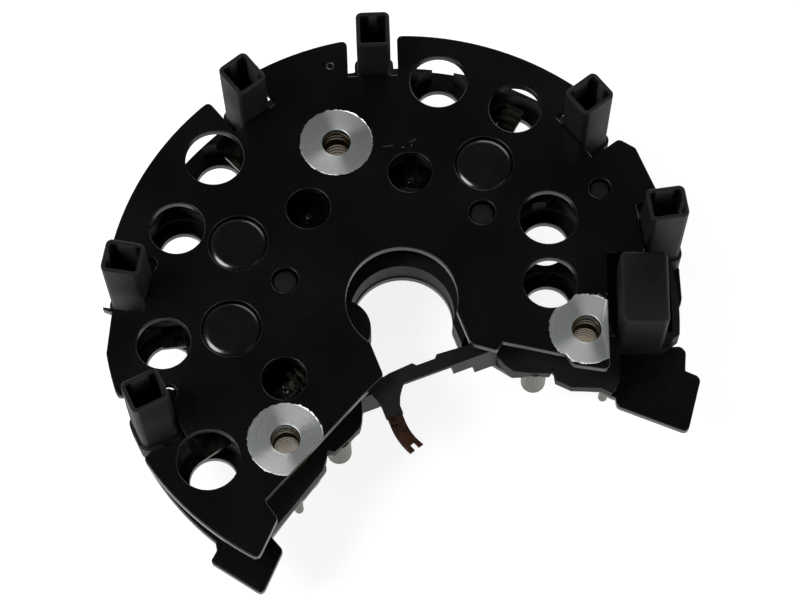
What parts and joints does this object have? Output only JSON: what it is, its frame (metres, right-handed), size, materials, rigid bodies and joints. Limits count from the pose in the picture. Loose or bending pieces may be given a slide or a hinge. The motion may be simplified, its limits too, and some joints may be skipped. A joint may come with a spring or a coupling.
{
  "type": "alternator rectifier",
  "caption": "Horseshoe-shaped alternator rectifier: stacked black heat-sink fins, press-fit diodes, lead towers and bare mounting pads.",
  "frame": {"origin": "on the rotor axis, level with the top face of the upper fin, which carries the three bare pads", "axes": "+Z is the rotor axis, out of the face that bolts to the alternator's frame; the open mouth points along -Y"},
  "size_m": [0.1277, 0.1106, 0.049],
  "materials": {
    "fin_black": "smooth satin black coating over aluminium sheet",
    "moulding_black": "fine moulded black glass-filled plastic",
    "diode_cup": "plated copper cup coated black with its fin",
    "terminal_metal": "tinned copper strip, dulled",
    "sleeve_metal": "turned brass, dull brown inside",
    "bush_plastic": "black insulating plastic",
    "bolt_steel": "zinc-plated steel thread",
    "insert_metal": "dull plated steel",
    "strip_copper": "dark oxidised copper strip"
  },
  "bodies": {
    "root": {"negative_fin": "fin_black", "positive_fin": "fin_black", "terminal_block": "moulding_black", "negative_diode_1": "diode_cup", "negative_diode_2": "diode_cup", "negative_diode_3": "diode_cup", "positive_diode_1": "diode_cup", "positive_diode_2": "diode_cup", "positive_diode_3": "diode_cup", "phase_terminal_1": "terminal_metal", "phase_terminal_2": "terminal_metal", "phase_terminal_3": "terminal_metal", "mounting_sleeve_1": "sleeve_metal", "mounting_sleeve_2": "sleeve_metal", "mounting_sleeve_3": "sleeve_metal", "insulating_bush_1": "bush_plastic", "insulating_bush_2": "bush_plastic", "insulating_bush_3": "bush_plastic", "output_bolt": "bolt_steel", "regulator_insert_1": "insert_metal", "regulator_insert_2": "insert_metal", "locating_pin_1": "insert_metal", "locating_pin_2": "insert_metal", "regulator_terminal": "strip_copper"}
  },
  "joints": []
}
